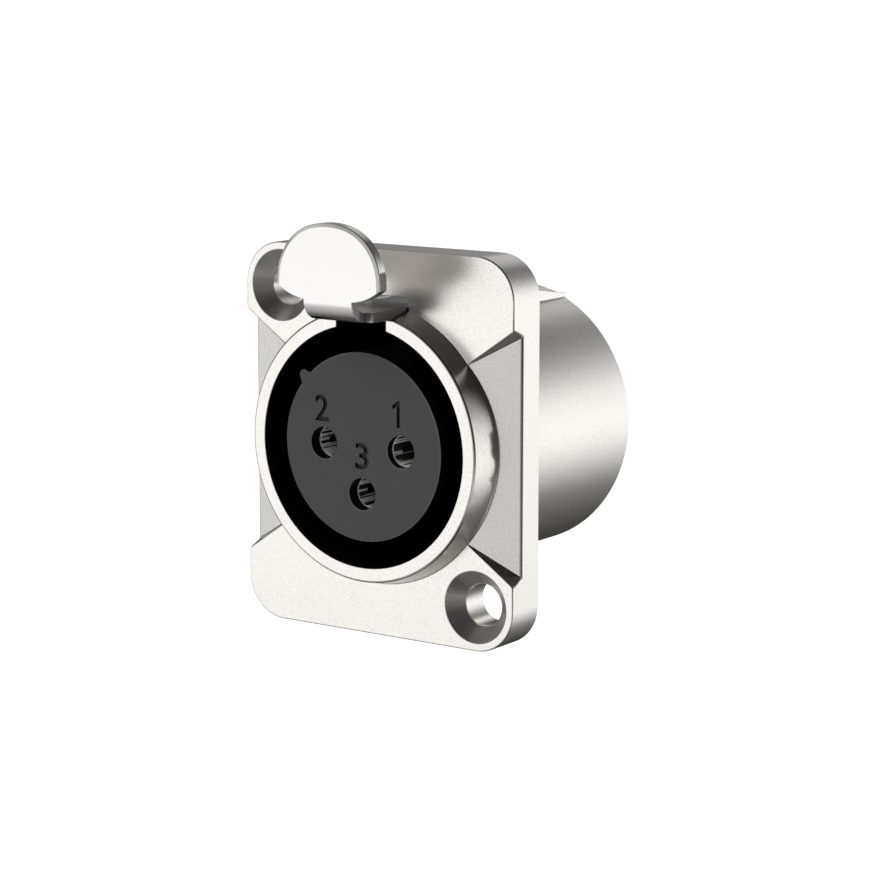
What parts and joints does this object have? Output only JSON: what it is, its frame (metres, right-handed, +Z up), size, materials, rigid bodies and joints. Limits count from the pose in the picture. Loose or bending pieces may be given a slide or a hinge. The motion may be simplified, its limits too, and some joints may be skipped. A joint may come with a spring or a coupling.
{
  "type": "xlr panel socket",
  "caption": "Round audio socket for a panel: cast flange and barrel, moulded insert with pin sockets, and a spring-loaded latch lever.",
  "frame": {"origin": "where the barrel's axis crosses the flange's back face, which is the plane of the panel", "axes": "+Y runs back along the barrel and leaves the flange's back face, +Z is up towards the latch lever, +X is right seen from the front"},
  "size_m": [0.026, 0.0306, 0.0335],
  "materials": {
    "satin_nickel": "satin nickel plate on a zinc die casting",
    "polished_nickel": "polished nickel plate",
    "black_sleeve": "moulded, matt",
    "black_polyamide": "moulded, fine grain",
    "silver_plate": "silver plate on brass",
    "tinned_brass": "tin plated",
    "spring_steel": "bright drawn"
  },
  "bodies": {
    "housing": {"shell": "satin_nickel", "bore_sleeve": "black_sleeve", "insert": "black_polyamide", "contact_1": "silver_plate", "contact_2": "silver_plate", "contact_3": "silver_plate", "ground_lug": "tinned_brass", "lock_ring": "spring_steel", "pivot_pin": "spring_steel", "latch_spring": "spring_steel"},
    "latch": {"latch_lever": "polished_nickel"}
  },
  "joints": [
    {"name": "latch_pivot", "type": "hinge", "parent": "housing", "child": "latch", "pos_m": [0, 0.0103, 0.0102], "axis": [-1, 0, 0], "range_deg": [0, 2.6], "stiffness_Nm_per_rad": 0.3, "springref_deg": -5.73, "deforming": ["latch_spring"]}
  ]
}
